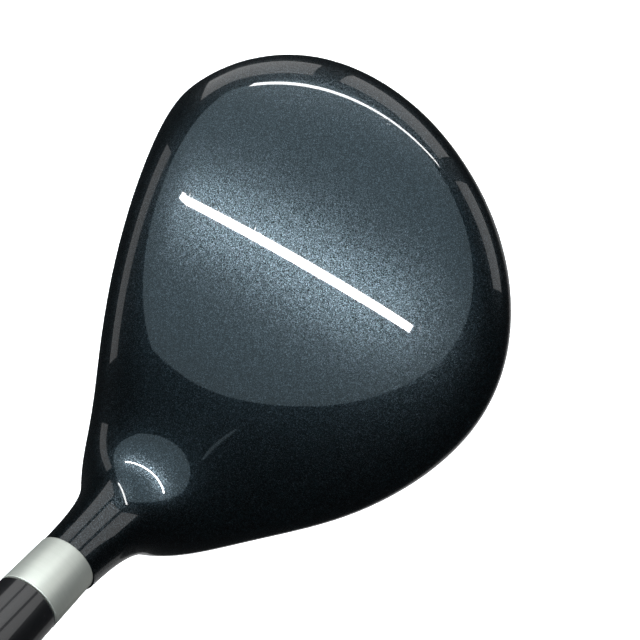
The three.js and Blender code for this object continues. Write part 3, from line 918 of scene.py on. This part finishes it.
def shaft_lacquer():
    """Black lacquer over carbon fibre, the weave just visible."""
    n = Nodes("shaft_lacquer")
    around = n.turn_station()
    threads = []
    for lean in (26, -26):
        bands = n.add("TexWave", {"wave_type": "BANDS", "bands_direction": "DIAGONAL"}, Scale=1.0,
                      Vector=n.stretched(around, lean, 0.55, 1), Distortion=0.4)
        threads.append(bands.outputs[1])
    weave = n.math("MULTIPLY", *threads)
    fade = n.noise(n.place(), 30)
    color = n.mix(weave, (0.006, 0.007, 0.009, 1), (0.030, 0.034, 0.040, 1))
    n.set(Base_Color=n.mix(n.span(fade, 0.3, 0.7, 0, 0.4), color, (0.010, 0.012, 0.015, 1)),
          Metallic=0.3, Roughness=0.35, Coat_Weight=1.0, Coat_Roughness=0.04,
          Normal=n.bump(weave, 0.08, 0.04))
    return n.material


def groove_shade_mask(n):
    """1 in the grooves between the grip's moulded diamonds, 0 elsewhere: where painted shade
    darkens the grip.
    """
    turn_station = n.add("SeparateXYZ", Vector=n.turn_station()).outputs
    along = n.math("SUBTRACT", turn_station["Y"], GRIP_MOUTH)
    across = n.math("MULTIPLY", turn_station["X"], 2 * math.pi * DIAMONDS["around"])
    lengthwise = n.math("MULTIPLY", along, 2 * math.pi / DIAMONDS["pitch"])
    left = n.math("COSINE", n.math("ADD", across, lengthwise))
    right = n.math("COSINE", n.math("SUBTRACT", across, lengthwise))
    weave = n.math("ABSOLUTE", n.math("MULTIPLY", left, right))
    groove = n.span(weave, 0, 2 * DIAMONDS["groove"], 1, 0)
    start, fade = DIAMONDS["from_mouth"], DIAMONDS["fade"]
    stop = SHAFT_END - GRIP_MOUTH - DIAMONDS["from_butt"]
    plain, plain_fade = DIAMONDS["plain"], DIAMONDS["plain_fade"]
    from_middle = n.math("ABSOLUTE", n.math("SUBTRACT", along, DIAMONDS["middle"]))
    for limit in (n.span(along, start, start + fade), n.span(along, stop - fade, stop, 1, 0),
                  n.span(from_middle, plain, plain + plain_fade)):
        groove = n.math("MULTIPLY", groove, limit)
    return groove


def grip_rubber():
    """Dull rubber, worn a little shiny, with the grooves between the moulded diamonds darkened as
    painted shade.
    """
    n = Nodes("grip_rubber")
    place = n.place()
    grain = n.noise(place, 4200, 3, 0.6)
    shine = n.span(n.noise(place, 70, 3), 0.42, 0.7)
    color = n.mix(grain, (0.018, 0.018, 0.019, 1), (0.040, 0.040, 0.042, 1))
    worn = n.mix(n.math("MULTIPLY", shine, 0.35), color, (0.060, 0.060, 0.062, 1))
    # The grooves are painted near-black: painted shade in the recesses, not a darker rubber
    n.set(Base_Color=n.mix(groove_shade_mask(n), worn, gray(0.004)),
          Roughness=n.span(shine, 0, 1, 0.78, 0.56), Normal=n.bump(grain, 0.5, 0.08))
    return n.material


def moulded(name, dark, light, roughness, scale=2600, metallic=0.0):
    """Moulded, cast or pressed stuff with a fine grain."""
    n = Nodes(name)
    place = n.place()
    grain = n.noise(place, scale, 3)
    tone = n.noise(place, scale / 30, 3)
    n.set(Base_Color=n.mix(n.span(tone, 0.3, 0.7), dark, light), Metallic=metallic,
          Roughness=n.span(grain, 0.3, 0.7, roughness - 0.08, roughness + 0.08),
          Normal=n.bump(grain, 0.3, 0.06))
    return n.material


def cast_metal(name, dark, light, roughness):
    return moulded(name, dark, light, roughness, scale=1800, metallic=1.0)


# ---- the pieces, each with its material and body ----

def fit_out(piece, material, slot_name, *nodes):
    piece.data.materials.clear()
    piece.data.materials.append(material)
    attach(piece, "root")
    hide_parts(*nodes)


def repaint(node, material):
    """Better material for a CAD node that keeps its shape."""
    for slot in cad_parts[node].material_slots:
        slot.material = material


def make_club():
    shell, plate, sole, badge = make_head_pieces()
    fit_out(shell, head_paint(), "head_paint", "head_shell")
    fit_out(plate, face_steel(), "face_metal", "face_plate")
    fit_out(sole, sole_steel(), "sole_metal", "sole_plate")
    fit_out(badge, badge_aluminium(), "badge_metal", "sole_badge")
    fit_out(make_weight(), turned_steel(), "weight_metal", "sole_weight")
    fit_out(make_ring(), ring_metal(), "ring_metal", "ferrule_ring")
    fit_out(make_sleeve(), sleeve_gloss(), "ferrule_plastic", "ferrule_sleeve")
    fit_out(make_shaft(), shaft_lacquer(), "shaft_paint", "shaft")
    fit_out(make_grip(), grip_rubber(), "grip_rubber", "grip")
    cap_plastic = moulded("cap_plastic", (0.02, 0.02, 0.022, 1), (0.035, 0.035, 0.037, 1), 0.5)
    fit_out(make_cap(), cap_plastic, "cap_plastic", "grip_cap")
    slug = cast_metal("heavy_alloy", (0.22, 0.22, 0.23, 1), (0.34, 0.34, 0.35, 1), 0.5)
    repaint("toe_slug", slug)
    repaint("heel_slug", slug)
    repaint("tip_weight", cast_metal("brass", (0.55, 0.38, 0.14, 1), (0.72, 0.54, 0.24, 1), 0.35))
    repaint("hot_melt_pad", moulded("hot_melt", (0.55, 0.48, 0.28, 1), (0.72, 0.66, 0.45, 1), 0.45))
    repaint("epoxy_bond", moulded("epoxy", (0.45, 0.36, 0.18, 1), (0.60, 0.50, 0.28, 1), 0.35))
    repaint("hosel_plug", moulded("plug_plastic", gray(0.03), gray(0.06), 0.6))
    repaint("grip_tape", moulded("paper_tape", (0.60, 0.55, 0.42, 1), (0.74, 0.69, 0.56, 1), 0.8))


# ---- stage, light and camera ----

def make_floor():
    """Plain white floor that is clear from below, so that the sole can be seen."""
    half = 6000
    corners = [(-half, -half, 0), (half, -half, 0), (half, half, 0), (-half, half, 0)]
    floor = new_object("floor", mesh_from("floor", corners, [(0, 1, 2, 3)]))
    floor.location.z = -0.02 * MM  # just clear of the sole
    n = Nodes("floor_white")
    n.set(Base_Color=gray(0.92), Roughness=0.9, Specular_IOR_Level=0.1,
          Emission_Color=gray(1), Emission_Strength=0.8)
    from_below = n.add("NewGeometry").outputs["Backfacing"]
    clear = n.add("BsdfTransparent").outputs[0]
    either = n.add("MixShader", None, {0: from_below, 1: n.shader.outputs[0], 2: clear})
    n.feed(n.tree.nodes["Material Output"].inputs["Surface"], either.outputs[0])
    floor.data.materials.append(n.material)
    floor.visible_glossy = False
    floor.visible_diffuse = False
    floor.visible_shadow = False


def add_to_scene(name, data, middle, right, up, back):
    """New light or camera that looks away from back, its place in millimetres."""
    holder = bpy.data.objects.new(name, data)
    bpy.context.scene.collection.objects.link(holder)
    turn = Matrix((right, up, back)).transposed().to_4x4()
    holder.matrix_world = Matrix.Translation(Vector(middle) * MM) @ turn
    return holder


def area_light(name, middle, aim, along, width, length, power, color=(1, 1, 1), shape="RECTANGLE"):
    """Soft panel at a place, facing aim; its length runs along the given direction."""
    light = bpy.data.lights.new(name, "AREA")
    light.shape = shape
    light.size, light.size_y = width * MM, length * MM
    light.energy = power
    light.color = color
    back = (Vector(middle) - Vector(aim)).normalized()
    run = Vector(along)
    run = (run - back * run.dot(back)).normalized()
    lamp = add_to_scene(name, light, middle, run.cross(back), run, back)
    lamp.visible_camera = False


def hanging_panel(name, middle, *size_and_finish):
    """Panel that shines straight down."""
    x, y, z = middle
    area_light(name, middle, (x, y, z - 1000), *size_and_finish)


def wall_panel(name, azimuth, elevation, width, height, power):
    """Upright panel that faces the head, at a compass direction from +X."""
    distance = 3000
    turn, rise = math.radians(azimuth), math.radians(elevation)
    flat = distance * math.cos(rise)
    middle = (flat * math.cos(turn), flat * math.sin(turn), distance * math.sin(rise))
    sideways = (-math.sin(turn), math.cos(turn), 0)
    area_light(name, middle, (0, 0, 0), sideways, height, width, power)


def make_lights():
    """A soft ceiling, two long lamps that draw the crown's streak and arc, and wall panels.
    Places and sizes are in millimetres, powers in watts."""
    cool = (0.66, 0.88, 1.0)
    hanging_panel("ceiling_soft", (-1500, -20, 1500), (0, 1, 0), 4650, 4000, 44, cool, "ELLIPSE")
    hanging_panel("tube_near", (-189, -16, 900), (457, 1342, 0), 39, 1234, 13)
    hanging_panel("tube_far", (-1941, 165, 900), (-280, 2000, 0), 150, 2060, 22)
    wall_panel("wall_rear", 128, 3, 1750, 1150, 7.4)
    wall_panel("wall_toe", 168, 4, 1750, 1150, 8)
    wall_panel("wall_corner", -152, 6, 1750, 1150, 7.4)
    wall_panel("wall_front", -95, 25, 2600, 600, 4)
    area_light("under_fill", (0, 0, -900), (0, 16, 25), (0, 1, 0), 1500, 1500, 2)


def make_world():
    """Pale backdrop that hardly lights the club or shows in its gloss."""
    world = bpy.data.worlds.new("studio")
    bpy.context.scene.world = world
    world.use_nodes = True
    nodes, links = world.node_tree.nodes, world.node_tree.links
    sky = nodes["Background"]
    sky.inputs["Color"].default_value = (0.82, 0.88, 0.95, 1)
    seen = nodes.new("ShaderNodeLightPath")
    strength = nodes.new("ShaderNodeMapRange")
    strength.inputs["To Min"].default_value = 0.02  # what the club reflects
    strength.inputs["To Max"].default_value = 0.8  # the backdrop itself
    links.new(seen.outputs["Is Camera Ray"], strength.inputs["Value"])
    links.new(strength.outputs["Result"], sky.inputs["Strength"])


def make_camera():
    """Close above the head, seen from the player's side."""
    camera = bpy.data.cameras.new("camera")
    camera.sensor_width = 36
    camera.lens = 36
    camera.clip_start = 0.01
    camera.clip_end = 50
    place = Vector((13.63, 67.05, 152.7))
    aim = Vector((5.55, 17.41, 0))
    picture_up = Vector((-0.9712, -0.2068, 0.1186))  # the toe is towards the top of the picture
    back = (place - aim).normalized()
    right = picture_up.cross(back).normalized()
    holder = add_to_scene("camera", camera, place, right, back.cross(right), back)
    bpy.context.scene.camera = holder


make_camera()
make_club()
make_floor()
make_lights()
make_world()
bpy.context.scene.view_settings.view_transform = "Standard"
